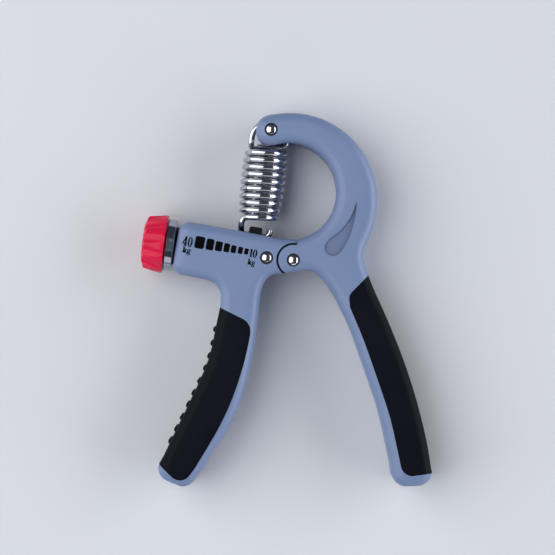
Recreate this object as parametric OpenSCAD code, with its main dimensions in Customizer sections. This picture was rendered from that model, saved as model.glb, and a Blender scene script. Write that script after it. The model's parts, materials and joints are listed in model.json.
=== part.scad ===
// Adjustable hand grip strengthener: two moulded handles on one rivet, a tension spring and a dial.
// It lies on its back face: X to the right, Y from the handle ends to the spring, Z up.
// The pivot's axis is the Z axis, and the back face is at Z = 0. Millimetres.

/* [Body] */
// Thickness of both handles, back face to front face
body_t = 25; // [24.5:0.5:28]
// Radius of the moulded edges
edge_r = 4.2; // [3:0.2:4.6]
// Black line between the two handles round the pivot
seam = 0.6; // [0.4:0.05:0.7]

/* [Pivot] */
// Radius of the round boss on the right handle's cheeks
boss_r = 6.4; // [6:0.1:6.8]
// Thickness of each cheek of the right handle
cheek_t = 6.5; // [6:0.25:7]
// Radius of the left handle's tongue between the cheeks
tongue_r = 7.4; // [7:0.1:7.8]
// Angle of the stop faces above the pivot, from the X axis
stop_angle = 79; // [76:1:82]
// Thickness of each pivot washer
washer_t = 0.6; // [0.4:0.1:0.8]

/* [Rivets] */
// Radius of a rivet's shank
shank_r = 1.5; // [1.3:0.1:1.6]
// Radius of a rivet's domed head
head_r = 2.25; // [2.1:0.05:2.4]
// Height of a rivet's domed head
head_h = 0.8; // [0.7:0.05:0.8]
// Radius of the counterbore round a head
counterbore_r = 2.7; // [2.6:0.05:3]
// Depth of the counterbore
counterbore_h = 0.85; // [0.85:0.05:1.2]

/* [C-arm] */
// Radius of the C-arm's outer edge
arc_outer_r = 36.4; // [35.8:0.1:37]
// Radius of the C-arm's inner edge
arc_inner_r = 20.3; // [20:0.1:20.6]
// Radius of the rounded tip round the tip rivet
lobe_r = 6.3; // [6:0.1:6.6]
// Half width of the slot in the tip
tip_slot = 4.2; // [4:0.1:5]
// Depth of the shallow moulded recess on each face
recess_h = 0.8; // [0.5:0.1:1.2]

/* [Dial] */
// Tilt of the arm and its screw, down towards the pivot
tilt = 7.6; // [7:0.2:8]
// Travel of the carriage along the screw
travel = 23; // [18:0.5:23]
// Radius of the screw over its thread
screw_r = 4; // [3.6:0.1:4.2]
// Radius of the knob at its rim
knob_r = 12.1; // [11.8:0.1:12.6]
// Radius of the knob at its outer face
knob_end_r = 10.9; // [10.5:0.1:11.2]
// Length of the knob, with its domed end
knob_l = 9.3; // [9:0.1:10]
// Number of finger flutes on the knob
flutes = 12; // [10:1:14]
// Radius of the silver collar
collar_r = 11; // [10.5:0.1:11.5]
// Thickness of the silver collar
collar_t = 3.5; // [3:0.1:3.8]

/* [Spring] */
// Diameter of the spring wire
wire_d = 2.5; // [2.2:0.1:2.5]
// Number of coils
coils = 10; // [8:1:10]
// Mean radius of the coils at the bottom
coil_low_r = 6.9; // [6.7:0.1:7.2]
// Mean radius of the coils in the middle
coil_mid_r = 8.3; // [8:0.1:8.5]
// Mean radius of the coils at the top
coil_top_r = 7.5; // [7.2:0.1:7.8]
// Mean radius of the hook over the tip rivet
hook_r = 7.5; // [7.3:0.1:7.7]

/* [Pads] */
// Thickness of the rubber pads
pad_t = 2.6; // [2.2:0.1:3]

/* [Hidden] */

mid = body_t / 2;
fit = 0.05;
eps = 0.01;
far = 200;

// Places in the plane of the handles
arm_pin = [-11.1, 0.95];
arc_outer_c = [-1.4, 24.8];
arc_inner_c = [-2.2, 28.6];
tip = arc_outer_c + (arc_outer_r - lobe_r + 0.22) * dir(104.9);

// Stations along the screw, measured from the arm rivet towards the knob
bearing_end = 4.3;
carriage_start = 6.1;
carriage_back = 1.4;
carriage_front = 5;
wall_in = carriage_start + travel + carriage_front + 1.5;
arm_end = wall_in + 2.4;
bush_flange = 0.8;
collar_start = arm_end + bush_flange + 0.15;
knob_start = collar_start + collar_t + 0.5;
knob_end = knob_start + knob_l;

// ---------- outlines ----------

function dir(a) = [cos(a), sin(a)];
function arc(c, r, a, b, n) = [for (i = [0:n]) c + r * dir(a + (b - a) * i / n)];
function catmull(p, q, r, s, t) =
    0.5 * (2 * q + (r - p) * t + (2 * p - 5 * q + 4 * r - s) * t * t
        + (3 * q - p - 3 * r + s) * t * t * t);
// Points of a smooth open curve through p, n steps to a stretch
function smooth(p, n) = [for (i = [0:len(p) - 2]) for (j = [0:n - 1])
    catmull(p[max(i - 1, 0)], p[i], p[i + 1], p[min(i + 2, len(p) - 1)], j / n)];

arm_top = [[8, 8.9], [1.1, 8.5], [-5.5, 8.9]];
left_outline = concat(
    arm_top,
    [[-11.8, 10.2], [-22.4, 12.2]],
    arc([-43.1, 11.2], 4.6, 80, 165, 5),
    arc([-45.4, -1], 5.2, 186, 258, 5),
    arc([-38, -16], 8, 78, 12, 5),
    smooth([[-30.3, -18.5], [-32.3, -28], [-35.4, -41.5], [-42.2, -57], [-50, -73], [-55, -83.6]], 3),
    arc([-50.6, -86.6], 5.6, 155, 250, 5),
    arc([-46, -88.2], 6, 262, 335, 4),
    smooth([[-37.6, -86.6], [-34, -80.6], [-26.4, -69.2], [-20.6, -55.5], [-16.9, -39.5], [-15, -26.5],
        [-14, -16.5], [-12.6, -10.4], [-9.6, -6.6], [-4, -5.5], [2.7, -4.5]], 3),
    [[8, -3.8]]);

right_outline = concat(
    [[-13, -5.5], [-9.6, -5.5]],
    smooth([[-4, -5.5], [2.7, -4.7], [7, -4.4], [10.6, -6.2], [15.2, -12], [18.8, -18.5], [24.2, -30],
        [30, -46.5], [35.4, -62.5], [39.2, -79], [40.8, -87]], 3),
    arc([47, -88], 6.2, 190, 262, 5),
    arc([51.4, -87.6], 6.4, 275, 353, 5),
    smooth([[57.3, -86.5], [55.4, -75], [51.2, -58], [45.8, -41.4], [39.2, -24.8], [32.4, -9.5],
        [29.2, 0.6], [30.3, 7.2]], 3),
    arc(arc_outer_c, arc_outer_r, -27, 97, 26),
    arc(tip, lobe_r, 100, 285, 10),
    arc(arc_inner_c, arc_inner_r, 96, -80, 22),
    [[-5.5, 8.9], [-13, 10.4]]);

// Inner edge of each pad, from its top corner on the outer edge to its lower corner
left_pad_edge = concat(
    [[-90, -52], [-59, -81.6]],
    arc([-47, -86.5], 4.9, -128, -30, 5),
    smooth([[-40.6, -86], [-31.4, -70.5], [-25.3, -57.5], [-20.4, -42.5], [-18, -31.6], [-17.85, -30.4]], 3),
    arc([-23.4, -29.4], 5.6, 0, 64, 5),
    [[-30.4, -19.7], [-60, -4.9]]);
right_pad_edge = concat(
    [[60, 22.6], [31.6, -5.8]],
    arc([27, -16], 3.9, 134, 190, 4),
    smooth([[23.4, -19.6], [29, -33], [35, -50], [40.2, -66], [44, -83]], 3),
    arc([49.4, -84.6], 5, 190, 265, 4),
    [[60, -88.2], [90, -80]]);

// Outline p moved inwards by d along its own normals
function unit(v) = v / norm(v);
function inset(p, d) = let (n = len(p)) [for (i = [0:n - 1])
    let (a = unit(p[i] - p[(i + n - 1) % n]), b = unit(p[(i + 1) % n] - p[i]), t = unit(a + b))
    p[i] + d * [-t.y, t.x]];

// Plate with the outline p, body_t thick, its edges rounded by edge_r in steps
module rounded_plate(p) {
    steps = 4;
    n = len(p);
    low = [for (k = [0:steps]) let (a = 90 * k / steps)
        [edge_r * (1 - sin(a)), edge_r * (1 - cos(a))]];
    levels = concat(low, [for (k = [steps:-1:0]) [low[k][0], body_t - low[k][1]]]);
    m = len(levels);
    points = [for (l = levels) for (q = inset(p, l[0])) [q.x, q.y, l[1]]];
    sides = [for (k = [0:m - 2]) for (i = [0:n - 1]) let (j = (i + 1) % n)
        each [[k * n + i, (k + 1) * n + i, (k + 1) * n + j], [k * n + i, (k + 1) * n + j, k * n + j]]];
    polyhedron(points, concat([[for (i = [0:n - 1]) i]], sides, [[for (i = [n - 1:-1:0]) (m - 1) * n + i]]));
}

// Prism over the polygon p from z = a to z = b
module prism(p, a = -1, b = body_t + 1) {
    translate([0, 0, a]) linear_extrude(b - a) polygon(p);
}

module post(r, a, b, at = [0, 0]) {
    translate([at.x, at.y, a]) cylinder(r = r, h = b - a, $fn = 64);
}

// Half of the plane on the right of the seam, moved left by d
module right_of_seam(d, a = -1, b = body_t + 1) {
    s = dir(stop_angle);
    prism([[-d, -far], [far, -far], [far, far], s * far + [-d, 0], [-d, 0]], a, b);
}

// Children placed in the arm's own frame: X runs from the knob to the pivot along the screw
module on_arm() {
    translate([arm_pin.x, arm_pin.y, mid]) rotate([0, 0, -tilt]) children();
}

// A cylinder along the screw from station a to station b
module along(r, a, b, r2 = -1, sides = 64) {
    translate([-a, 0, 0]) rotate([0, -90, 0])
        cylinder(r1 = r, r2 = r2 < 0 ? r : r2, h = b - a, $fn = sides);
}

// A box along the screw, from station a to b, from v0 to v1 across the arm, w wide
module block(a, b, v0, v1, w) {
    translate([-b, v0, -w / 2]) cube([b - a, v1 - v0, w]);
}

module rivet(at) {
    post(shank_r, counterbore_h - 0.3, body_t - counterbore_h + 0.3, at);
    for (side = [0, 1]) translate([at.x, at.y, mid]) mirror([0, 0, side])
        translate([0, 0, mid - counterbore_h]) rotate_extrude($fn = 48) rivet_head();
}

module rivet_head() {
    ball_r = (head_r * head_r + head_h * head_h) / (2 * head_h);
    intersection() {
        translate([0, head_h - ball_r]) circle(r = ball_r, $fn = 96);
        square([head_r, head_h]);
    }
}

module rivet_hole(at) {
    post(shank_r + fit, -1, body_t + 1, at);
    post(counterbore_r, -1, counterbore_h, at);
    post(counterbore_r, body_t - counterbore_h, body_t + 1, at);
}

// ---------- handles ----------

core_inset = pad_t + 0.2;
tongue_low = cheek_t + washer_t + 2 * fit;

// A moulding, whose rounded skin is a mesh
module moulded() {
    resize([0, 0, 0]) children();
}

// The part of a handle that a pad leaves: all of it outside the pad, and a core inside it
module padded_handle(outline, pad_edge) {
    difference() {
        rounded_plate(outline);
        difference() {
            prism(pad_edge);
            prism(inset(outline, core_inset), pad_t, body_t - pad_t);
        }
    }
}

module grip_pad(outline, pad_edge) {
    moulded() difference() {
        intersection() {
            rounded_plate(outline);
            prism(inset(pad_edge, fit));
        }
        prism(inset(outline, core_inset - fit), pad_t - fit, body_t - pad_t + fit);
    }
}

module left_handle() {
    color([0.47, 0.53, 0.66]) difference() {
        moulded() padded_handle(left_outline, left_pad_edge);
        // All that is right of the seam, except the tongue
        difference() {
            right_of_seam(seam / 2);
            post(tongue_r, tongue_low, body_t - tongue_low);
        }
        // Room for the right handle's cheeks
        post(boss_r + seam, -1, tongue_low);
        post(boss_r + seam, body_t - tongue_low, body_t + 1);
        post(bush_r + fit, -1, body_t + 1);
        rivet_hole(arm_pin);
        on_arm() {
            block(-bearing_back - fit, wall_in, -channel_h, channel_top, channel_w);
            block(-3, arm_end + 1, channel_top - eps, 20, slot_w);
            along(bush_body_r + fit, wall_in - 1, arm_end + 5);
            block(arm_end, arm_end + 20, -40, 40, 60);
        }
    }
}

module right_handle() {
    color([0.47, 0.53, 0.66]) difference() {
        moulded() difference() {
            padded_handle(right_outline, right_pad_edge);
            for (side = [0, 1]) translate([0, 0, mid]) mirror([0, 0, side])
                translate([0, 0, mid - recess_h]) linear_extrude(2) polygon(recess);
        }
        // All that is left of the seam, except the cheeks' round bosses
        difference() {
            left_of_seam();
            post(boss_r, -2, cheek_t);
            post(boss_r, body_t - cheek_t, body_t + 2);
        }
        // Room for the left handle's tongue
        post(tongue_r + seam, cheek_t, body_t - cheek_t);
        rivet_hole([0, 0]);
        rivet_hole(tip);
        hook_room();
    }
}

module left_of_seam() {
    s = dir(stop_angle);
    d = seam / 2;
    // The tip end of the C-arm stays
    prism([[d, -60], [d, 0], s * 12 + [d, 0], [-40, 12], [-40, -60]]);
}

recess = smooth([[26.2, 24], [23.6, 17.6], [19.6, 12.4], [15, 8.8], [12.9, 5.4], [14, 2.6], [16.8, 1.6],
    [20, 3.6], [22.8, 8.4], [24.8, 14.2], [26, 19.4], [26.2, 24]], 3);

// Slot in the tip for the hook, at rest and swung towards the knob
module hook_room() {
    for (swing = [0, 14, 28]) {
        c = tip + (hook_r - sleeve_r - wire_d / 2 - hook_play) * dir(-90 - swing);
        post(hook_r + wire_d / 2 + 1, mid - tip_slot, mid + tip_slot, c);
    }
}

module left_grip_pad() {
    color([0.03, 0.03, 0.04]) grip_pad(left_outline, left_pad_edge);
}
module right_grip_pad() {
    color([0.03, 0.03, 0.04]) grip_pad(right_outline, right_pad_edge);
}

// ---------- pivot, rivets, sleeves ----------

bush_r = 2.6;
sleeve_r = 2.1;
hook_play = 0.3;

module pivot_rivet() {
    color("silver") rivet([0, 0]);
}
module pivot_bush() {
    color("darkgoldenrod") difference() {
        post(bush_r, tongue_low, body_t - tongue_low);
        post(shank_r + fit, 0, body_t);
    }
}
module pivot_washers() {
    color("white") for (z = [cheek_t + fit, body_t - cheek_t - fit - washer_t]) difference() {
        post(boss_r - 1.2, z, z + washer_t);
        post(shank_r + fit, z - 1, z + washer_t + 1);
        translate([-far / 2, -4.6 - far, -1]) cube([far, far, body_t + 2]);
    }
}
module tip_rivet() {
    color("silver") rivet(tip);
}
module tip_sleeve() {
    color("silver") difference() {
        post(sleeve_r, mid - tip_slot + fit, mid + tip_slot - fit, tip);
        post(shank_r + fit, 0, body_t, tip);
    }
}
module arm_rivet() {
    color("silver") rivet(arm_pin);
}

// ---------- dial and screw ----------

// Channel in the arm, and the slot in its top edge
channel_h = 6.2;
channel_top = 6.6;
channel_w = 11.6;
slot_w = 9.4;

// Bearings and screw
bearing_back = 4;
bearing_gap = 0.6;
bush_body_r = 5.6;
bush_flange_r = 8;
journal_r = 2;
journal_in = shank_r + 0.6;
thread_in = bearing_end + 0.15;
lead_in = 0.5;
clip_t = 0.8;
clip_r = screw_r + 1.4;
clip_groove_r = 3.2;
clip_in = wall_in - clip_t - 0.15;

// Carriage, its nut and the bridge over the hook
carriage_w = channel_w - 0.6;
under_play = 0.8;
over_play = 0.4;
thread_play = 0.35;
tunnel_play = 0.5;
hook_v = 8.7;
bridge_w = slot_w - 0.8;
bridge_half = 2.7;
bridge_top = 12.2;
shoulder_r = 0.9;
nut_in = 0.5;
nut_t = 4;
nut_r = 5.6;

// Knob, its pin and the collar
rim_l = 1.4;
hub_r = 6.4;
dome_l = 1.2;
dome_in = 3;
screw_back = 2.6;
flute_r = 3.6;
flute_slope = 21;
flute_turn = 5;
pin_r = 1;
pin_at = knob_start + 2.4;
pin_l = 17;
chamfer = 0.35;

module end_bearing() {
    color("dimgray") difference() {
        on_arm() difference() {
            block(-bearing_back, bearing_end, fit - channel_h, channel_top - bearing_gap, channel_w - 2 * fit);
            along(journal_r + fit, journal_in, bearing_end + 1);
        }
        post(shank_r + fit, 0, body_t, arm_pin);
    }
}

module adjusting_screw() {
    color("silver") on_arm() difference() {
        union() {
            along(journal_r, journal_in + 0.1, thread_in + fit);
            along(screw_r - lead_in, thread_in, thread_in + lead_in, screw_r);
            along(screw_r, thread_in + lead_in - eps, clip_in - fit);
            along(clip_groove_r, clip_in - fit - eps, wall_in - 2 * fit);
            along(screw_r, wall_in - 2 * fit - eps, knob_end - screw_back);
        }
        pin_hole();
    }
}
module retaining_clip() {
    color("silver") on_arm() difference() {
        along(clip_r, clip_in, clip_in + clip_t);
        along(clip_groove_r + fit, clip_in - 1, wall_in + 1);
        block(clip_in - 1, wall_in + 1, -far, 0, 2 * clip_groove_r - clip_t);
    }
}

module front_bush() {
    color([0.06, 0.06, 0.07]) on_arm() difference() {
        union() {
            along(bush_body_r, wall_in, arm_end + 0.1);
            along(bush_flange_r, arm_end + fit, arm_end + bush_flange);
        }
        along(screw_r + fit, wall_in - 1, arm_end + 2);
    }
}

module carriage() {
    s = carriage_start;
    color([0.04, 0.04, 0.05]) on_arm() difference() {
        union() {
            block(s - carriage_back, s + carriage_front, under_play - channel_h, channel_top - over_play, carriage_w);
            // Bridge over the hook, with rounded shoulders
            block(s - bridge_half, s + bridge_half, channel_top - over_play - eps, bridge_top - shoulder_r, bridge_w);
            block(s - bridge_half + shoulder_r, s + bridge_half - shoulder_r, channel_top, bridge_top, bridge_w);
            for (u = [s - bridge_half + shoulder_r, s + bridge_half - shoulder_r])
                translate([-u, bridge_top - shoulder_r, -bridge_w / 2]) cylinder(r = shoulder_r, h = bridge_w, $fn = 32);
        }
        along(screw_r + thread_play, s - 5, s + carriage_front + 1);
        // Pocket for the nut, open below
        along(nut_r + fit, s + nut_in - fit, s + nut_in + nut_t + fit, -1, 6);
        // Tunnel for the hook, under the bridge
        translate([0, hook_v, 0]) along(wire_d / 2 + tunnel_play, s - 10, s + 10);
    }
}

module carriage_nut() {
    s = carriage_start + nut_in;
    color("goldenrod") on_arm() difference() {
        along(nut_r, s, s + nut_t, -1, 6);
        along(screw_r + fit, s - 1, s + nut_t + 1);
    }
}

// The knob: a plain rim, a tapered skirt and a domed end, with scooped flutes that meet at the outer end
module knob() {
    skirt_end = knob_end - dome_l;
    color([0.8, 0.03, 0.12]) on_arm() difference() {
        union() {
            along(knob_r, knob_start, knob_start + rim_l);
            along(knob_r - 0.01, knob_start + rim_l - 0.01, skirt_end, knob_end_r);
            along(knob_end_r, skirt_end - 0.01, knob_end, knob_end_r - dome_in);
            along(hub_r, arm_end + bush_flange + 0.1, knob_start + 0.1);
        }
        along(screw_r + fit, 0, knob_end - screw_back);
        pin_hole();
        for (i = [0:flutes - 1]) rotate([(i + 0.5) * 360 / flutes + flute_turn, 0, 0])
            translate([-knob_start - rim_l, knob_r + flute_r, 0]) rotate([0, 0, flute_slope])
            translate([knob_l, 0, 0]) rotate([0, -90, 0]) cylinder(r = flute_r, h = 3 * knob_l, $fn = 32);
    }
}

module pin_hole() {
    translate([-pin_at, 0, 0]) rotate([90, 0, 0]) cylinder(r = pin_r + fit / 2, h = far, center = true, $fn = 32);
}

module knob_collar() {
    color([0.75, 0.75, 0.76]) on_arm() difference() {
        union() {
            along(collar_r - chamfer, collar_start, collar_start + chamfer, collar_r);
            along(collar_r, collar_start + chamfer - eps, collar_start + collar_t - chamfer + eps);
            along(collar_r, collar_start + collar_t - chamfer, collar_start + collar_t, collar_r - chamfer);
        }
        along(hub_r + fit, collar_start - 1, collar_start + collar_t + 1);
    }
}

module knob_pin() {
    color("silver") on_arm() translate([-pin_at, 0, 0]) rotate([90, 0, 0])
        cylinder(r = pin_r, h = pin_l, center = true, $fn = 32);
}

// ---------- spring ----------

coil_low = [-14.4, 17.8];
coil_top = [-11.3, 44.7];
up = unit(coil_top - coil_low);
across = [up.y, -up.x];
pitch = norm(coil_top - coil_low) / (coils - 1);
rings = 8;
function v3(p, z = 0) = [p.x, p.y, mid + z];
// Radius at the share t of the coil's height, through the three given radii
function coil_r(t) = coil_low_r + (4 * coil_mid_r - 3 * coil_low_r - coil_top_r) * t
    + 2 * (coil_low_r + coil_top_r - 2 * coil_mid_r) * t * t;
function coil_point(turn) = let (r = coil_r(turn / coils))
    v3(coil_low + up * pitch * (turn - 0.25) - across * r * cos(360 * turn), r * sin(360 * turn));
function bezier(a, b, c, d, n) = [for (i = [0:n]) let (t = i / n, s = 1 - t)
    s * s * s * a + 3 * s * s * t * b + 3 * s * t * t * c + t * t * t * d];

first_turn = 1 / rings;
last_turn = coils - 1 / rings;
coil = [for (i = [1:coils * rings - 1]) coil_point(i / rings)];

// A place on the arm, from its station and height, in the plane of the spring
function arm_point(u, v) = v3(arm_pin + [-u * cos(tilt) + v * sin(tilt), u * sin(tilt) + v * cos(tilt)]);
hook_end_u = carriage_start - 6;
hook_leg_u = carriage_start + 6.1;
low_corner_r = 2.2;
low_hook = concat(
    [arm_point(hook_end_u, hook_v + 3)],
    [for (a = [0:30:90]) arm_point(hook_end_u + low_corner_r * (1 - cos(a)),
        hook_v + low_corner_r * (1 - sin(a)))],
    [for (a = [0:30:90]) arm_point(hook_leg_u - low_corner_r * (1 - sin(a)),
        hook_v + low_corner_r * (1 - cos(a)))],
    bezier(arm_point(hook_leg_u + 0.3, hook_v + 4.4), arm_point(hook_leg_u + 0.5, hook_v + 7),
        coil_point(first_turn) - [2.6, 0.6, 3.4], coil_point(first_turn) - [1, 0.1, 1.6], 5));

// The loop round the tip sleeve: over it from the knob's side, down the other side and back below
hook_c = tip + [-0.8, sleeve_r + hook_play + wire_d / 2 - hook_r];
curl_r = 2.9;
curl_c = hook_c + [hook_r - curl_r, 0];
top_hook = concat(
    bezier(coil_point(last_turn) + [-1.4, 0.3, 1.5], coil_point(last_turn) + [-2.8, 0.8, 3.4],
        v3(hook_c + hook_r * dir(188) + [0, -1]), v3(hook_c + hook_r * dir(176)), 5),
    [for (a = [164:-12:8]) v3(hook_c + hook_r * dir(a))],
    [for (a = [0:-22.5:-90]) v3(curl_c + curl_r * dir(a))],
    [for (x = [1.6:1.6:9.6]) v3(curl_c + [-x, -curl_r])]);
wire = concat(low_hook, coil, top_hook);

// Rings of the tube, each turned as little as can be from the last
function tangent(p, i) = unit(p[min(i + 1, len(p) - 1)] - p[max(i - 1, 0)]);
function turned(n, t) = unit(n - t * (n * t));
module tube(p, r, sides = 6) {
    n = len(p);
    normals = [for (i = 0, v = turned([0, 0, 1], tangent(p, 0)); i < n;
        i = i + 1, v = i < n ? turned(v, tangent(p, i)) : v) v];
    points = [for (i = [0:n - 1]) let (t = tangent(p, i), b = cross(t, normals[i]))
        for (k = [0:sides - 1]) p[i] + r * (normals[i] * cos(360 * k / sides) + b * sin(360 * k / sides))];
    skin = [for (i = [0:n - 2]) for (k = [0:sides - 1])
        let (j = (k + 1) % sides, a = i * sides, c = a + sides) each [[a + k, c + k, c + j], [a + k, c + j, a + j]]];
    first = [for (k = [1:sides - 2]) [0, k, k + 1]];
    z = (n - 1) * sides;
    last = [for (k = [1:sides - 2]) [z, z + k + 1, z + k]];
    polyhedron(points, concat(first, skin, last));
}

// Least gap of the wire to itself, between points that lie over half a turn apart
apart = 5;
gaps = [for (i = [0:len(wire) - 1 - apart]) min([for (j = [i + apart:len(wire) - 1])
    norm(wire[i] - wire[j])])];
echo(least_gap = min(gaps) - wire_d, rings = len(wire));

module tension_spring() {
    color([0.8, 0.8, 0.82]) tube(wire, wire_d / 2);
}

left_handle();
right_handle();
left_grip_pad();
right_grip_pad();
pivot_rivet();
pivot_bush();
pivot_washers();
tip_rivet();
tip_sleeve();
arm_rivet();
end_bearing();
adjusting_screw();
retaining_clip();
front_bush();
carriage();
carriage_nut();
knob();
knob_collar();
knob_pin();
tension_spring();
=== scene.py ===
"""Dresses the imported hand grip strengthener.

It gives the solids their finishes, winds the spring, cuts the thread, softens edges, prints the
scale and sets up floor, light and camera. Lengths are in millimetres where no line says metres."""
import json
import math

import bmesh
import bpy
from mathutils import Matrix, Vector

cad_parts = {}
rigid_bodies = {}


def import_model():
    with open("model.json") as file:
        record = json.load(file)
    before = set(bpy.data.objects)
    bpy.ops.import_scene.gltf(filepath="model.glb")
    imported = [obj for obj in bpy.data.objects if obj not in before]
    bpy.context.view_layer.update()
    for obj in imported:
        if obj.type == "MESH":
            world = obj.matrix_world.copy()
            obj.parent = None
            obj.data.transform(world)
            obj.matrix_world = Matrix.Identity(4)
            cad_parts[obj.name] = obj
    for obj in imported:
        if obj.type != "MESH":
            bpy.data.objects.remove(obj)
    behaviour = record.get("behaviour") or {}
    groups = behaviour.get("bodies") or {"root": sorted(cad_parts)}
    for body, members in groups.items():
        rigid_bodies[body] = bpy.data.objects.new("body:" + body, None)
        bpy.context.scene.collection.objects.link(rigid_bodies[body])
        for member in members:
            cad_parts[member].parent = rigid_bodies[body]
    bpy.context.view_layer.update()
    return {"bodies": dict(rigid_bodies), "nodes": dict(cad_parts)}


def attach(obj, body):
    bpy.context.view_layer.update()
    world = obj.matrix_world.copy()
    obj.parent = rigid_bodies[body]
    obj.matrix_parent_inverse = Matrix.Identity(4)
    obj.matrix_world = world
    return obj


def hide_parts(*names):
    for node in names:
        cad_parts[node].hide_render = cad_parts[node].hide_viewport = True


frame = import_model()
NODES = frame["nodes"]
MM = 0.001

# ---------- sizes that repeat the part's own ----------

# Thickness of the handles, and the height of their middle plane
BODY_T = 25.0
MID = BODY_T / 2
# Lean of the arm and its screw
TILT = math.radians(7.6)
# The three rivets, and the counterbores that they sit in
PIVOT = (0.0, 0.0)
TIP = (-9.2, 54.1)
ARM_PIN = (-11.1, 0.95)
COUNTERBORE_R = 2.7
# Boss round the pivot and the seam outside it
BOSS_R = 6.4
SEAM = 0.6
# Depth of the drop-shaped recess
RECESS_H = 0.8
# Middles of the lowest and the highest coil, and the mean radii at the bottom, half-way and the top
COIL_LOW = Vector((-14.4, 17.8))
COIL_TOP = Vector((-11.3, 44.7))
COILS = 10
COIL_RADII = (6.9, 8.3, 7.5)
WIRE_D = 2.5
# Points of the wire's core to each coil, and sides of the wire
COIL_STEPS = 32
WIRE_SIDES = 14
# Upper hook: a half ring over the tip's sleeve, a tighter curl, and the straight end below it
HOOK_R = 7.5
HOOK_SHIFT = -0.8
HOOK_PLAY = 0.3
CURL_R = 2.9
BELOW = 9.6
SLEEVE_R = 2.1
# Lower hook: its middle along the screw and its height across it, then, from that middle, the reach
# of its short end and of its long leg, their corners, the end's height and the leg's forward lean
CARRIAGE_U = 6.1
HOOK_V = 8.7
HOOK_SHORT = 6.0
HOOK_LONG = 6.1
HOOK_CORNER_R = 2.2
HOOK_END_H = 3.0
LEG_LEAN = math.radians(38)


def arm_point(u, v, z=0.0):
    """A place on the arm.

    u runs along the screw from the arm rivet to the knob, v across it, z from the middle plane."""
    x = ARM_PIN[0] - u * math.cos(TILT) + v * math.sin(TILT)
    y = ARM_PIN[1] + u * math.sin(TILT) + v * math.cos(TILT)
    return Vector((x, y, MID + z))


# ---------- shader maths ----------

# Sockets that share their names with others, by their place in the node
OBJECT_OUT = 3
NUMBER_OUT = 1
FACTOR = 0
VECTOR_A, VECTOR_B, VECTOR_OUT = 4, 5, 1
COLOUR_A, COLOUR_B, COLOUR_OUT = 6, 7, 2


class Socket:
    """A shader value that can be used in Python expressions."""

    def __init__(self, tree, output):
        self.tree = tree
        self.output = output

    def _math(self, operation, *values):
        node = self.tree.nodes.new("ShaderNodeMath")
        node.operation = operation
        for socket, value in zip(node.inputs, values):
            link(self.tree, socket, value)
        return Socket(self.tree, node.outputs[0])

    def __add__(self, other):
        return self._math("ADD", self, other)

    def __radd__(self, other):
        return self._math("ADD", other, self)

    def __sub__(self, other):
        return self._math("SUBTRACT", self, other)

    def __rsub__(self, other):
        return self._math("SUBTRACT", other, self)

    def __mul__(self, other):
        return self._math("MULTIPLY", self, other)

    def __rmul__(self, other):
        return self._math("MULTIPLY", other, self)

    def __pow__(self, other):
        return self._math("POWER", self, other)

    def __abs__(self):
        return self._math("ABSOLUTE", self)


def link(tree, socket, value):
    """Sets a socket to a number or colour, or links a Socket to it."""
    if isinstance(value, Socket):
        tree.links.new(value.output, socket)
    elif isinstance(value, (tuple, list)) and len(value) == 3 and socket.type == "RGBA":
        socket.default_value = (*value, 1)
    else:
        socket.default_value = value


class Finish:
    """One procedural material, built on a Principled shader."""

    def __init__(self, name, **fixed):
        self.material = bpy.data.materials.new(name)
        self.material.use_nodes = True
        self.tree = self.material.node_tree
        self.shader = next(n for n in self.tree.nodes if n.type == "BSDF_PRINCIPLED")
        for key, value in fixed.items():
            link(self.tree, self.shader.inputs[key.replace("_", " ")], value)

    def node(self, kind, sockets=None, output=0, **settings):
        """Any node, by its type, its sockets' values or links, the output wanted and settings."""
        made = self.tree.nodes.new(kind)
        for key, value in settings.items():
            setattr(made, key, value)
        for key, value in (sockets or {}).items():
            link(self.tree, made.inputs[key], value)
        return Socket(self.tree, made.outputs[output])

    def place(self):
        """The point in the frame at rest, in metres."""
        return self.node("ShaderNodeTexCoord", output=OBJECT_OUT)

    def noise(self, scale, detail=3.0, roughness=0.5):
        """Soft noise over the piece, with the scale in cells to the metre."""
        sockets = {"Scale": scale, "Detail": detail, "Roughness": roughness}
        return self.node("ShaderNodeTexNoise", {"Vector": self.place(), **sockets})

    def mix(self, factor, low, high):
        """Low at a factor of 0, high at 1."""
        sockets = {FACTOR: factor, COLOUR_A: low, COLOUR_B: high}
        return self.node("ShaderNodeMix", sockets, COLOUR_OUT, data_type="RGBA")

    def axis(self, index):
        """One coordinate of the place at rest, in metres."""
        return self.node("ShaderNodeSeparateXYZ", {"Vector": self.place()}, output=index)

    def fade(self, value, full, none):
        """1 where the value is at full or beyond it, 0 at none."""
        return self.node("ShaderNodeMapRange", {"Value": value, "From Min": none, "From Max": full})

    def near_axis(self, x, y, radius, blur):
        """1 inside a radius round an upright axis, in millimetres."""
        across = self.axis(0) - x * MM
        along = self.axis(1) - y * MM
        away = (across * across + along * along) ** 0.5
        return self.fade(away, (radius - blur) * MM, radius * MM)

    def band(self, index, centre, half):
        """1 on a thin band round one coordinate, in millimetres."""
        return self.fade(abs(self.axis(index) - centre * MM), half * MM / 2, half * MM)

    def ring(self, x, y, inner, outer, blur):
        """1 between two radii round an upright axis, in millimetres."""
        return self.near_axis(x, y, outer, blur) * (1 - self.near_axis(x, y, inner, blur))

    def bump(self, height, strength, distance):
        """A surface direction from a height, with the distance in metres."""
        sockets = {"Height": height, "Strength": strength, "Distance": distance}
        return self.node("ShaderNodeBump", sockets)

    def set(self, **links):
        """Feeds the shader's sockets, and gives back the material."""
        for key, value in links.items():
            link(self.tree, self.shader.inputs[key.replace("_", " ")], value)
        return self.material


# Shadow in the counterbores and in the seam, how far each goes past its edge, and how soft it ends
BORE_SHADOW = (0.004, 0.004, 0.006)
BORE_PAST, BORE_BLUR = 0.12, 0.16
SEAM_SHADOW = (0.004, 0.005, 0.010)
SEAM_INSIDE, SEAM_OUTSIDE, SEAM_BLUR = 0.12, 0.14, 0.08
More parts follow.
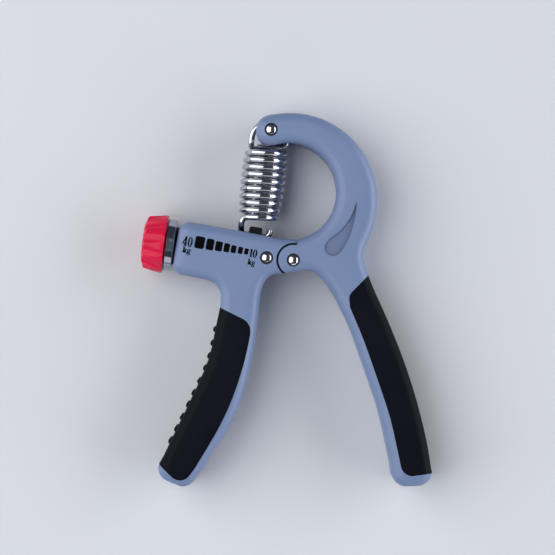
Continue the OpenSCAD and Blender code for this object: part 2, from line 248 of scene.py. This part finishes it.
# The seam's shadow is full up to the first x, and fades to nothing at the second
SEAM_FULL_X, SEAM_NONE_X = 0.8, 1.4
# Half the width of the parting line round the handles
PARTING_HALF = 0.09


def plastic_skin(f, dark, light, rough):
    """Colour with faint flow marks, uneven gloss and the height of a fine spark-eroded grain."""
    colour = f.mix(f.noise(38, 4), dark, light)
    gloss = rough - 0.06 + 0.12 * f.noise(160, 3)
    return colour, gloss, f.noise(2600, 2, 0.6) + 0.4 * f.noise(300, 2)


def moulded_plastic(name, dark, light, rough, specular=0.45):
    """Satin moulded plastic."""
    f = Finish(name, Specular_IOR_Level=specular)
    colour, gloss, height = plastic_skin(f, dark, light, rough)
    return f.set(Base_Color=colour, Roughness=gloss, Normal=f.bump(height, 0.18, 0.00002))


def handle_plastic(name, dark, light, rough):
    """The handles' plastic, with shadowed counterbores and seam and a faint parting line."""
    f = Finish(name, Specular_IOR_Level=0.45)
    colour, gloss, height = plastic_skin(f, dark, light, rough)
    for x, y in (PIVOT, TIP, ARM_PIN):
        bore = f.near_axis(x, y, COUNTERBORE_R + BORE_PAST, BORE_BLUR)
        colour = f.mix(bore, colour, BORE_SHADOW)
    seam = f.ring(*PIVOT, BOSS_R - SEAM_INSIDE, BOSS_R + SEAM + SEAM_OUTSIDE, SEAM_BLUR)
    seam = seam * f.fade(f.axis(0), SEAM_FULL_X * MM, SEAM_NONE_X * MM)
    colour = f.mix(seam, colour, SEAM_SHADOW)
    height = height - 3.0 * f.band(2, MID, PARTING_HALF)
    return f.set(Base_Color=colour, Roughness=gloss, Normal=f.bump(height, 0.18, 0.00002))


def soft_rubber(name):
    """Black thermoplastic rubber with a fine matt texture."""
    f = Finish(name, Specular_IOR_Level=0.07)
    skin = f.node("ShaderNodeTexVoronoi", {"Vector": f.place(), "Scale": 1500.0})
    cloud = f.noise(45, 4)
    colour = f.mix(cloud, (0.0015, 0.002, 0.005), (0.0045, 0.0055, 0.011))
    rough = 0.42 + 0.2 * cloud
    return f.set(Base_Color=colour, Roughness=rough, Normal=f.bump(skin, 0.35, 0.00006))


def polished_metal(name, dark, light, rough):
    """Plated or polished metal with faint polishing marks."""
    f = Finish(name, Metallic=1.0)
    marks = f.noise(900, 5, 0.7)
    colour = f.mix(f.noise(120, 3), dark, light)
    gloss = rough + 0.08 * marks
    return f.set(Base_Color=colour, Roughness=gloss, Normal=f.bump(marks, 0.05, 0.00002))


def brushed_ring(name):
    """Silver collar, turned, with fine rings of tool marks round the screw's axis."""
    f = Finish(name, Metallic=1.0)
    turn = f.node("ShaderNodeMapping", {"Vector": f.place(), "Rotation": (0, 0, TILT)})
    along = f.node("ShaderNodeSeparateXYZ", {"Vector": turn})
    sockets = {"W": along * 9000.0, "Scale": 1.0, "Detail": 3.0}
    lines = f.node("ShaderNodeTexNoise", sockets, noise_dimensions="1D")
    colour = f.mix(f.noise(90, 3), (0.32, 0.34, 0.40), (0.46, 0.49, 0.57))
    gloss = 0.05 + 0.09 * lines
    return f.set(Base_Color=colour, Roughness=gloss, Normal=f.bump(lines, 0.12, 0.00003))


def red_plastic(name):
    """Glossy red knob plastic."""
    f = Finish(name, Specular_IOR_Level=0.13, Coat_Roughness=0.05)
    cloud = f.noise(60, 3)
    colour = f.mix(cloud, (0.54, 0.006, 0.040), (0.68, 0.013, 0.065))
    gloss = 0.2 + 0.1 * cloud
    coat = 0.04 + 0.08 * cloud
    height = f.bump(f.noise(700, 3), 0.06, 0.00004)
    return f.set(Base_Color=colour, Roughness=gloss, Coat_Weight=coat, Normal=height)


def ink(name):
    """Black pad-printed ink, a little uneven."""
    f = Finish(name, Specular_IOR_Level=0.03)
    cloud = f.noise(900, 3)
    colour = f.mix(cloud, (0.0008, 0.0008, 0.0015), (0.003, 0.003, 0.0045))
    return f.set(Base_Color=colour, Roughness=0.4 + 0.15 * cloud)


BODY = handle_plastic("grey_blue_plastic", (0.142, 0.196, 0.348), (0.160, 0.220, 0.386), 0.42)
# Painted shade: the recess floors get the handles' plastic in a darker tone, standing for the shade
# that falls in the drop-shaped recess
RECESS_SHADE = handle_plastic("recess_painted_shade", (0.112, 0.152, 0.272), (0.128, 0.172, 0.302), 0.5)
RUBBER = soft_rubber("black_rubber")
RIVET = polished_metal("rivet_steel", (0.60, 0.61, 0.64), (0.74, 0.75, 0.78), 0.08)
SPRING = polished_metal("spring_chrome", (0.48, 0.49, 0.53), (0.62, 0.63, 0.67), 0.08)
STEEL = polished_metal("plated_steel", (0.45, 0.45, 0.46), (0.62, 0.62, 0.63), 0.28)
BRASS = polished_metal("turned_brass", (0.62, 0.46, 0.2), (0.74, 0.58, 0.3), 0.25)
COLLAR = brushed_ring("silver_collar")
KNOB = red_plastic("red_knob_plastic")
DARK = moulded_plastic("black_plastic", (0.003, 0.003, 0.004), (0.008, 0.008, 0.010), 0.4, 0.15)
NYLON = moulded_plastic("natural_nylon", (0.62, 0.6, 0.55), (0.7, 0.69, 0.64), 0.45)
INK = ink("scale_ink")

FINISH_OF = {
    "left_handle": BODY, "right_handle": BODY,
    "left_grip_pad": RUBBER, "right_grip_pad": RUBBER,
    "pivot_rivet": RIVET, "tip_rivet": RIVET, "arm_rivet": RIVET,
    "pivot_bush": BRASS, "carriage_nut": BRASS, "pivot_washers": NYLON,
    "tip_sleeve": STEEL, "adjusting_screw": STEEL, "retaining_clip": STEEL, "knob_pin": STEEL,
    "end_bearing": DARK, "front_bush": DARK, "carriage": DARK,
    "knob": KNOB, "knob_collar": COLLAR,
}
for name, finish in FINISH_OF.items():
    mesh = NODES[name].data
    mesh.materials.clear()
    mesh.materials.append(finish)


# ---------- mesh helpers ----------


def shaded(name, mesh, finish, angle):
    """An object for a mesh, shaded smooth up to an angle in degrees."""
    mesh.materials.append(finish)
    for polygon in mesh.polygons:
        polygon.use_smooth = True
    mesh.set_sharp_from_angle(angle=math.radians(angle))
    made = bpy.data.objects.new(name, mesh)
    bpy.context.scene.collection.objects.link(made)
    return made


def piece(name, verts, faces, finish, angle=40):
    """A mesh object from points in metres."""
    mesh = bpy.data.meshes.new(name)
    mesh.from_pydata([tuple(v) for v in verts], [], faces)
    mesh.update()
    return shaded(name, mesh, finish, angle)


def ring_faces(rings, sides, flip=False):
    """Faces round a row of rings of points and over its two ends."""
    faces = []
    for i in range(rings - 1):
        a, b = i * sides, (i + 1) * sides
        for k in range(sides):
            j = (k + 1) % sides
            faces.append((a + k, a + j, b + j, b + k))
    faces.append(tuple(reversed(range(sides))))
    faces.append(tuple(range((rings - 1) * sides, rings * sides)))
    return [face[:1] + face[:0:-1] for face in faces] if flip else faces


def tube(name, path, radius, finish, sides):
    """A round wire along a path of points, with flat ends.

    Each ring turns as little as it can from the last."""
    verts = []
    normal = Vector((0, 0, 1))
    last = len(path) - 1
    for i, point in enumerate(path):
        t = (path[min(i + 1, last)] - path[max(i - 1, 0)]).normalized()
        normal = (normal - t * normal.dot(t)).normalized()
        side = t.cross(normal)
        for k in range(sides):
            a = 2 * math.pi * k / sides
            verts.append(point + radius * (normal * math.cos(a) + side * math.sin(a)))
    return piece(name, verts, ring_faces(len(path), sides), finish)


def bezier(a, b, c, d, n):
    """Points of a curve from a to d, drawn towards b and c, in n steps."""
    points = []
    for i in range(n + 1):
        t = i / n
        s = 1 - t
        points.append(s * s * s * a + 3 * s * s * t * b + 3 * s * t * t * c + t * t * t * d)
    return points


# ---------- spring ----------

UP = (COIL_TOP - COIL_LOW).normalized()
ACROSS = Vector((UP.y, -UP.x))
PITCH = (COIL_TOP - COIL_LOW).length / (COILS - 1)


def coil_radius(t):
    """Mean radius at a share of the spring's height, by a parabola through the three radii."""
    low, middle, top = COIL_RADII
    return low + (4 * middle - 3 * low - top) * t + 2 * (low + top - 2 * middle) * t * t


def coil_point(turn):
    """A place on the coils, counted in turns from the bottom."""
    r = coil_radius(turn / COILS)
    a = 2 * math.pi * turn
    flat = COIL_LOW + UP * PITCH * (turn - 0.25) - ACROSS * r * math.cos(a)
    return Vector((flat.x, flat.y, MID + r * math.sin(a)))


HOOK_C = Vector((TIP[0] + HOOK_SHIFT, TIP[1] + SLEEVE_R + HOOK_PLAY + WIRE_D / 2 - HOOK_R))


def hook_point(degrees, centre=HOOK_C, r=HOOK_R):
    """A place on the upper hook's ring, or on its curl."""
    a = math.radians(degrees)
    return Vector((centre.x + r * math.cos(a), centre.y + r * math.sin(a), MID))


def leg_point(u, rise):
    """A place on the lower hook's long leg, which leans forward out of the arm's middle plane."""
    return arm_point(u, HOOK_V + rise * math.cos(LEG_LEAN), rise * math.sin(LEG_LEAN))


def spring_path():
    """The wire's core in metres, from the lower hook's end round the coils to the upper hook's."""
    start, leg, corner = CARRIAGE_U - HOOK_SHORT, CARRIAGE_U + HOOK_LONG, HOOK_CORNER_R
    path = [arm_point(start, HOOK_V + HOOK_END_H), arm_point(start, HOOK_V + HOOK_END_H - 0.4)]
    quarter = [math.radians(90 * step / 8) for step in range(9)]
    bends = [(corner * (1 - math.cos(a)), corner * (1 - math.sin(a))) for a in quarter]
    path += [arm_point(start + along, HOOK_V + across) for along, across in bends]
    path += [leg_point(leg - across, along) for along, across in bends]

    # From the leg into the coils, and from the coils into the upper hook
    first, last = coil_point(1 / 8), coil_point(COILS - 1 / 8)
    path += bezier(leg_point(leg + 0.1, 3.0), leg_point(leg + 0.5, 6.2),
                   first - Vector((1.9, 0.4, 1.9)), first, 14)
    eighth = COIL_STEPS // 8
    path += [coil_point(i / COIL_STEPS) for i in range(eighth + 1, COILS * COIL_STEPS - eighth)]
    path += bezier(last, last + Vector((-2.0, 0.6, 3.3)),
                   hook_point(186) - Vector((0, 1.6, 0)), hook_point(172), 14)

    path += [hook_point(a) for a in range(166, 2, -6)]
    curl = HOOK_C + Vector((HOOK_R - CURL_R, 0))
    path += [hook_point(a, curl, CURL_R) for a in range(0, -91, -10)]
    path += [Vector((curl.x - BELOW * i / 8, curl.y - CURL_R, MID)) for i in range(1, 9)]
    return [p * MM for p in path]


# Heights over the lower hook, between which the wire bends to the tip rivet and the coils stretch
BEND_FROM, BEND_TO = 4, 24
STRETCH_FROM, STRETCH_TO = 8, 35


def stretch_between(spring, bodies):
    """Keeps the spring's hooks on the carriage and the tip rivet, and spreads the coils between.

    The wire's core moves by the bodies' own places: the lower hook rides with the carriage, the
    lowest coils bend towards the tip rivet, the coils above take up the change of length and the
    upper hook turns with them. The skin keeps its distance from the core, so the wire stays
    round."""
    low_end = arm_point(CARRIAGE_U, HOOK_V) * MM
    top_end = Vector((TIP[0], TIP[1], MID)) * MM
    axis = top_end - low_end
    length = axis.length
    axis.normalize()
    side = Vector((axis.y, -axis.x, 0))

    tree = bpy.data.node_groups.new("spring_stretch", "GeometryNodeTree")
    tree.interface.new_socket("Geometry", in_out="INPUT", socket_type="NodeSocketGeometry")
    tree.interface.new_socket("Geometry", in_out="OUTPUT", socket_type="NodeSocketGeometry")

    def add(kind, sockets, output=0, **settings):
        made = tree.nodes.new(kind)
        for key, value in settings.items():
            setattr(made, key, value)
        for key, value in sockets.items():
            if isinstance(value, bpy.types.NodeSocket):
                tree.links.new(value, made.inputs[key])
            else:
                made.inputs[key].default_value = value
        return made.outputs[output]

    def vector(operation, a, b=None, output=0, scale=None):
        sockets = {0: a}
        if b is not None:
            sockets[1] = b
        if scale is not None:
            sockets["Scale"] = scale
        return add("ShaderNodeVectorMath", sockets, output, operation=operation)

    def number(operation, a, b):
        return add("ShaderNodeMath", {0: a, 1: b}, operation=operation)

    def carried(point, body):
        """A point of the rest place, where a body has moved it."""
        matrix = add("GeometryNodeObjectInfo", {"Object": bodies[body]}, transform_space="RELATIVE")
        return add("FunctionNodeTransformPoint", {"Vector": point, "Transform": matrix})

    at_rest = add("GeometryNodeInputPosition", {})
    low_now = carried(tuple(low_end), "carriage_body")
    top_now = carried(tuple(top_end), "right_body")
    axis_now = vector("SUBTRACT", top_now, low_now)
    length_now = vector("LENGTH", axis_now, output=NUMBER_OUT)
    unit_now = vector("NORMALIZE", axis_now)
    side_now = vector("CROSS_PRODUCT", unit_now, (0, 0, 1))

    def turned(value, more=0.0):
        """A vector of the resting spring, turned to its axis now, with more added along it."""
        parts = []
        for rest, now in ((axis, unit_now), (side, side_now), ((0, 0, 1), (0, 0, 1))):
            size = vector("DOT_PRODUCT", value, tuple(rest), output=NUMBER_OUT)
            if now is unit_now:
                size = number("ADD", size, more)
            parts.append(vector("SCALE", now, scale=size))
        return vector("ADD", vector("ADD", parts[0], parts[1]), parts[2])

    def mixed(factor, a, b):
        sockets = {FACTOR: factor, VECTOR_A: a, VECTOR_B: b}
        return add("ShaderNodeMix", sockets, VECTOR_OUT, data_type="VECTOR")

    core = add("GeometryNodeInputNamedAttribute", {"Name": "core"}, data_type="FLOAT_VECTOR")
    offset = vector("SUBTRACT", core, tuple(low_end))
    along = vector("DOT_PRODUCT", offset, tuple(axis), output=NUMBER_OUT)
    heights = {"Value": along, "From Min": STRETCH_FROM * MM, "From Max": STRETCH_TO * MM}
    share = add("ShaderNodeMapRange", heights)
    grown = number("MULTIPLY", share, number("SUBTRACT", length_now, length))
    placed = vector("ADD", low_now, turned(offset, grown))
    heights = {"Value": along, "From Min": BEND_FROM * MM, "From Max": BEND_TO * MM}
    bend = add("ShaderNodeMapRange", heights, interpolation_type="SMOOTHSTEP")
    placed = mixed(bend, carried(core, "carriage_body"), placed)
    skin = vector("SUBTRACT", at_rest, core)
    skin = vector("NORMALIZE", mixed(bend, skin, turned(skin)))
    placed = vector("ADD", placed, vector("SCALE", skin, scale=WIRE_D / 2 * MM))
    source = tree.nodes.new("NodeGroupInput")
    target = tree.nodes.new("NodeGroupOutput")
    moved = add("GeometryNodeSetPosition", {"Geometry": source.outputs[0], "Position": placed})
    tree.links.new(moved, target.inputs[0])
    modifier = spring.modifiers.new("stretch", "NODES")
    modifier.node_group = tree


wire_path = spring_path()
spring = tube("wound_spring", wire_path, WIRE_D / 2 * MM, SPRING, WIRE_SIDES)
core = spring.data.attributes.new("core", "FLOAT_VECTOR", "POINT")
for i, value in enumerate(core.data):
    value.vector = wire_path[i // WIRE_SIDES]
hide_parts("tension_spring")
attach(spring, "spring")
stretch_between(spring, frame["bodies"])


# ---------- mouldings and pads ----------

# Points of a solid closer than this are one
WELD = 0.0005
# Outer edge of the finger pad, from top to bottom
PAD_EDGE = ((-31.9, -26.0), (-35.4, -41.5), (-42.2, -57.0), (-50.0, -73.0), (-53.4, -80.2))
# Nubs: their size, their step down the edge, their rows across the thickness, the sides and rings
# of each dome, and how far below the pad's skin it starts
NUB_R = 1.3
NUB_H = 1.0
NUB_STEP = 5.6
NUB_ROWS = (-6.2, 0.0, 6.2)
NUB_SIDES = 14
NUB_RINGS = 5
NUB_ROOT_DEG = 12


def along_edge(points, step, parts=40):
    """Places a step apart along a smooth curve through points, each with its outward direction."""
    fine = []
    end = len(points) - 1
    for i in range(end):
        p, q, r, s = (Vector(points[max(0, min(end, i + k))]) for k in (-1, 0, 1, 2))
        for j in range(parts):
            t = j / parts
            squared = (2 * p - 5 * q + 4 * r - s) * t * t
            cubed = (3 * q - p - 3 * r + s) * t ** 3
            fine.append(0.5 * (2 * q + (r - p) * t + squared + cubed))
    places, run = [], step / 2
    for a, b in zip(fine, fine[1:]):
        run += (b - a).length
        if run >= step:
            run -= step
            d = (b - a).normalized()
            places.append((b, Vector((d.y, -d.x))))
    return places


def softened(node, name, finish, width, angle=35):
    """A copy of a solid with its edges softened, to stand for it."""
    form = bmesh.new()
    form.from_mesh(NODES[node].data)
    bmesh.ops.remove_doubles(form, verts=form.verts, dist=WELD * MM)
    mesh = bpy.data.meshes.new(name)
    form.to_mesh(mesh)
    form.free()
    if "custom_normal" in mesh.attributes:
        mesh.attributes.remove(mesh.attributes["custom_normal"])
    made = shaded(name, mesh, finish, angle)
    bevel = made.modifiers.new("soft_edges", "BEVEL")
    bevel.width = width * MM
    bevel.segments = 2
    bevel.limit_method = "ANGLE"
    bevel.angle_limit = math.radians(angle)
    evened = made.modifiers.new("even_shading", "WEIGHTED_NORMAL")
    evened.weight = 100
    evened.keep_sharp = True
    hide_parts(node)
    return made


def add_nub(form, centre, normal):
    """One dome on the outer side of the pad."""
    side = Vector((0, 0, 1))
    other = normal.cross(side)
    turns = [2 * math.pi * m / NUB_SIDES for m in range(NUB_SIDES)]
    rings = []
    for k in range(NUB_RINGS):
        a = math.radians(90 * k / NUB_RINGS - NUB_ROOT_DEG)
        r, h = NUB_R * math.cos(a), NUB_H * math.sin(a)
        ring = [centre + normal * h + r * (side * math.cos(b) + other * math.sin(b)) for b in turns]
        rings.append([form.verts.new(point * MM) for point in ring])
    top = form.verts.new((centre + normal * NUB_H) * MM)
    around = [(m, (m + 1) % NUB_SIDES) for m in range(NUB_SIDES)]
    for low, high in zip(rings, rings[1:]):
        for m, n in around:
            form.faces.new((low[m], low[n], high[n], high[m])).smooth = True
    for m, n in around:
        form.faces.new((rings[-1][m], rings[-1][n], top)).smooth = True
    form.faces.new(list(reversed(rings[0])))


def add_nubs(pad):
    """Round nubs on the pad's outer side, in rows across its thickness."""
    form = bmesh.new()
    form.from_mesh(pad.data)
    for place, out in along_edge(PAD_EDGE, NUB_STEP):
        for row in NUB_ROWS:
            add_nub(form, Vector((place.x, place.y, MID + row)), Vector((out.x, out.y, 0)))
    bmesh.ops.recalc_face_normals(form, faces=form.faces)
    form.to_mesh(pad.data)
    form.free()


for node, name, body in (
    ("left_handle", "left_moulding", "left_body"),
    ("right_handle", "right_moulding", "right_body"),
):
    moulding = softened(node, name, BODY, width=0.12, angle=40)
    # The flat floors of the recess take the darker material, which is painted shade in the recess
    moulding.data.materials.append(RECESS_SHADE)
    for polygon in moulding.data.polygons:
        flat = abs(polygon.normal.z) > 0.9
        depth = MID * MM - abs(polygon.center.z - MID * MM)
        if flat and abs(depth - RECESS_H * MM) < 0.05 * MM:
            polygon.material_index = 1
    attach(moulding, body)

left_pad = softened("left_grip_pad", "finger_pad", RUBBER, width=0.3)
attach(left_pad, "left_body")
add_nubs(left_pad)
right_pad = softened("right_grip_pad", "palm_pad", RUBBER, width=0.3)
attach(right_pad, "right_body")


# ---------- screw, knob and carriage ----------

# Thread: its pitch and radius, its depth, and the shares of a turn on the crest and on each flank
THREAD_PITCH = 1.5
SCREW_R = 4.0
THREAD_H = 0.75
CREST = 0.3
FLANK = 0.2
# Stations along the axis where the thread starts, where its depth has run out, and where its rings
# end, and the lengths over which its depth grows and runs out
THREAD_START = 5.1
THREAD_OUT = 34.4
THREAD_END = 34.5
LEAD_IN = 1.2
LEAD_OUT = 1.0
# Stations and radii of the journal before the thread, and of the groove and shank after it
JOURNAL = ((2.2, 1.7), (2.5, 2.0), (4.49, 2.0), (4.5, 3.5), (4.95, 4.0))
SHANK = ((34.58, 4.0), (34.6, 3.2), (35.49, 3.2), (35.5, 4.0), (49.3, 4.0), (49.65, 3.7))
SCREW_SIDES = 32


def thread_radius(u, angle):
    """Radius of the right-handed trapezoidal thread, at a station and an angle round the axis."""
    grown = min(1, max(0, (u - THREAD_START) / LEAD_IN), max(0, (THREAD_OUT - u) / LEAD_OUT))
    phase = (-u / THREAD_PITCH - angle / (2 * math.pi)) % 1
    drop = min(1, max(0, (phase - CREST) / FLANK), (1 - phase) / FLANK)
    return SCREW_R - THREAD_H * drop * grown


def threaded_screw():
    """The adjusting screw: journal, lead-in, thread, clip groove and the shank inside the knob."""
    rise = THREAD_PITCH / 8
    thread = [THREAD_START + i * rise for i in range(round((THREAD_END - THREAD_START) / rise))]
    stations = [*JOURNAL, *((u, None) for u in thread), *SHANK]
    across = Vector((math.sin(TILT), math.cos(TILT), 0))
    verts = []
    for u, radius in stations:
        centre = arm_point(u, 0)
        for k in range(SCREW_SIDES):
            a = 2 * math.pi * k / SCREW_SIDES
            r = radius or thread_radius(u, a)
            verts.append((centre + r * (across * math.cos(a) + Vector((0, 0, math.sin(a))))) * MM)
    faces = ring_faces(len(stations), SCREW_SIDES, flip=True)
    return piece("threaded_screw", verts, faces, STEEL, angle=32)


screw = threaded_screw()
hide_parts("adjusting_screw")
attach(screw, "dial")
for node, name, finish, width, body, slot in (
    ("knob", "fluted_knob", KNOB, 0.16, "dial", "knob_plastic"),
    ("knob_collar", "turned_collar", COLLAR, 0.1, "dial", "collar_metal"),
    ("carriage", "hook_carriage", DARK, 0.25, "carriage_body", "carriage_plastic"),
    ("front_bush", "flanged_bush", DARK, 0.15, "left_body", "bearing_plastic"),
):
    soft = softened(node, name, finish, width)
    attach(soft, body)


# ---------- scale print ----------

# Height of the print's face, its thickness, the lift of each stroke over the last, and its lean
FACE_Z = BODY_T + 0.03
PRINT_T = 0.04
STROKE_LIFT = 0.002
PRINT_LEAN = math.radians(3)

# Blocks of the scale from its heavy end: place along and across the screw, width and height
BLOCKS = (
    (28.25, 2.57, 4.05, 5.10), (23.93, 2.33, 3.25, 4.68), (20.21, 2.07, 2.98, 4.05),
    (16.91, 1.90, 2.42, 3.66), (14.03, 1.68, 2.18, 3.16), (11.15, 1.57, 1.97, 2.84),
    (8.63, 1.46, 1.72, 2.52),
)
# Radius of a block's corners, as a share of its width
BLOCK_CORNER = 0.22

# Strokes of the letters, from each one's lower left corner. A box has its left, low, right and high
# edges; a bar its two ends and its width; a ring its middle, half its width and height, its
# thickness at the sides and at the top, and the number of its points.
LETTERS = {
    "one": (
        ("box", 0.36, 0, 1.06, 4),
        ("bar", 0.02, 3.15, 0.6, 3.76, 0.38),
        ("box", 0.02, 0, 1.38, 0.3),
    ),
    "nought": (
        ("ring", 0.98, 2, 1.0, 2.1, 0.7, 0.34, 32),
    ),
    "four": (
        ("box", 1.02, 0, 1.72, 4.05),
        ("bar", 0.14, 1.1, 1.3, 3.88, 0.36),
        ("box", -0.04, 0.86, 2.1, 1.22),
        ("box", 0.66, 0, 2.04, 0.3),
    ),
    "small_k": (
        ("box", 0.12, 0, 0.80, 2.45),
        ("box", -0.04, 2.2, 0.5, 2.45),
        ("box", -0.04, 0, 0.94, 0.28),
        ("bar", 0.6, 0.72, 1.42, 1.54, 0.32),
        ("bar", 0.84, 1.04, 1.42, 0.1, 0.68),
        ("box", 0.98, 1.4, 1.74, 1.66),
        ("box", 1.02, 0, 1.86, 0.28),
    ),
    "small_g": (
        ("ring", 0.66, 1.06, 0.7, 0.62, 0.46, 0.26, 24),
        ("bar", 1.05, 1.4, 1.5, 1.58, 0.4),
        ("bar", 0.3, 0.64, 0.3, 0.14, 0.38),
        ("bar", 0.16, 0.2, 1.3, 0.06, 0.48),
        ("ring", 0.7, -0.3, 0.76, 0.5, 0.4, 0.26, 24),
    ),
}
# Words: letters and where each starts
FORTY = (("four", 0), ("nought", 2.25))
TEN = (("one", 0), ("nought", 1.4))
UNIT = (("small_k", 0), ("small_g", 1.85))


def printed(u, v, s, t, lift=0.0):
    """A point of the print, in metres: s to the right and t up from u, v on the arm's face."""
    lean_s = s * math.cos(PRINT_LEAN) + t * math.sin(PRINT_LEAN)
    lean_t = t * math.cos(PRINT_LEAN) - s * math.sin(PRINT_LEAN)
    p = arm_point(u - lean_s, v + lean_t)
    return Vector((p.x, p.y, FACE_Z + lift)) * MM


def slab(name, points, faces):
    """A thin closed plate of ink, from flat points in metres and its upper faces."""
    n = len(points)
    low = [p - Vector((0, 0, PRINT_T * MM)) for p in points]
    edges = [edge for face in faces for edge in zip(face, face[1:] + face[:1])]
    walls = [(b, a, a + n, b + n) for a, b in edges if (b, a) not in edges]
    under = [tuple(i + n for i in reversed(face)) for face in faces]
    made = piece(name, points + low, faces + under + walls, INK, angle=20)
    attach(made, "left_body")


def rounded_block(name, u, v, wide, high):
    """A printed block with rounded corners, centred at u, v on the arm's front face."""
    r = BLOCK_CORNER * wide
    points = []
    for cs, ct, start in ((1, 1, 0), (-1, 1, 90), (-1, -1, 180), (1, -1, 270)):
        for step in range(5):
            a = math.radians(start + 22.5 * step)
            s, t = cs * (wide / 2 - r) + r * math.cos(a), ct * (high / 2 - r) + r * math.sin(a)
            points.append(printed(u, v, s, t))
    slab(name, points, [tuple(range(len(points)))])


class Word:
    """A printed word of flat strokes, each a hair above the last, so that none share a plane."""

    def __init__(self, letters):
        self.points = []
        self.faces = []
        self.strokes = 0
        for letter, start in letters:
            for kind, *sizes in LETTERS[letter]:
                getattr(self, kind)(start, *sizes)

    def stroke(self, start, points, faces):
        first = len(self.points)
        self.points += [(start + s, t, self.strokes * STROKE_LIFT) for s, t in points]
        self.faces += [tuple(i + first for i in face) for face in faces]
        self.strokes += 1

    def box(self, start, s0, t0, s1, t1):
        self.stroke(start, [(s0, t0), (s1, t0), (s1, t1), (s0, t1)], [(0, 1, 2, 3)])

    def bar(self, start, s0, t0, s1, t1, width):
        run = Vector((s1 - s0, t1 - t0)).normalized() * width / 2
        a, b = (s0 + run.y, t0 - run.x), (s1 + run.y, t1 - run.x)
        c, d = (s1 - run.y, t1 + run.x), (s0 - run.y, t0 + run.x)
        self.stroke(start, [a, b, c, d], [(0, 1, 2, 3)])

    def ring(self, start, s, t, half_wide, half_high, side, cap, n):
        points = []
        for wide, high in ((half_wide, half_high), (half_wide - side, half_high - cap)):
            for i in range(n):
                a = 2 * math.pi * i / n
                points.append((s + wide * math.cos(a), t + high * math.sin(a)))
        self.stroke(start, points, [(i, (i + 1) % n, (i + 1) % n + n, i + n) for i in range(n)])

    def print_on(self, name, u, v, wide=1.0, high=1.0):
        """Prints the word with its lower left corner at u, v on the arm's front face."""
        placed = [printed(u, v, s * wide, t * high, lift) for s, t, lift in self.points]
        slab(name, placed, self.faces)


for i, block in enumerate(BLOCKS):
    rounded_block(f"scale_block_{i + 1}", *block)
Word(FORTY).print_on("scale_forty", 35.5, 0.43)
Word(UNIT).print_on("scale_forty_unit", 34.9, -2.35)
Word(TEN).print_on("scale_ten", 7.35, -0.5, 0.96, 0.83)
Word(UNIT).print_on("scale_ten_unit", 7.55, -3.75, 0.9, 0.98)


# ---------- floor, light and camera ----------

# Side of the view in pixels, its scale in the plane of the front faces, and the pivot's place in it
VIEW_PX = 555
MM_PER_PX = 0.414
PIVOT_PX = (293.4, 260.0)
# Height of the camera over the floor in metres, and its sensor's width
CAMERA_HEIGHT = 0.95
SENSOR = 36.0
# Half the floor's side, in metres
FLOOR_HALF = 2.0


def floor_finish():
    """Pale matt board, a little cloudy."""
    f = Finish("pale_floor", Roughness=0.8)
    return f.set(Base_Color=f.mix(f.noise(3, 2), (0.60, 0.62, 0.66), (0.63, 0.65, 0.69)))


def lamp(name, place, size, power):
    """A window that faces the pivot, with its place and size in metres and its power in watts."""
    data = bpy.data.lights.new(name, "AREA")
    data.shape = "RECTANGLE"
    data.size, data.size_y = size
    data.energy = power
    made = bpy.data.objects.new(name, data)
    bpy.context.scene.collection.objects.link(made)
    made.location = place
    made.rotation_euler = (-Vector(place)).to_track_quat("-Z", "Y").to_euler()


corners = [Vector((x, y, 0)) * FLOOR_HALF for x, y in ((-1, -1), (1, -1), (1, 1), (-1, 1))]
piece("floor", corners, [(0, 1, 2, 3)], floor_finish())
lamp("left_window", (-0.755, 0.10, 0.73), (1.4, 1.64), 17.7)
lamp("right_window", (1.015, 0.0, 0.37), (1.4, 0.87), 14.2)
lamp("front_window", (0.1, -1.0, 0.38), (1.6, 0.6), 2.6)

world = bpy.data.worlds.new("studio")
bpy.context.scene.world = world
world.use_nodes = True
background = next(n for n in world.node_tree.nodes if n.type == "BACKGROUND")
background.inputs["Color"].default_value = (0.72, 0.8, 0.95, 1)
background.inputs["Strength"].default_value = 0.09

camera_data = bpy.data.cameras.new("camera")
camera = bpy.data.objects.new("camera", camera_data)
bpy.context.scene.collection.objects.link(camera)
centre_x = (VIEW_PX / 2 - PIVOT_PX[0]) * MM_PER_PX
centre_y = (PIVOT_PX[1] - VIEW_PX / 2) * MM_PER_PX
camera.location = (centre_x * MM, centre_y * MM, CAMERA_HEIGHT)
camera_data.sensor_width = SENSOR
camera_data.lens = SENSOR * (CAMERA_HEIGHT - BODY_T * MM) / (VIEW_PX * MM_PER_PX * MM)
bpy.context.scene.camera = camera
bpy.context.scene.view_settings.view_transform = "Standard"

bpy.context.view_layer.update()
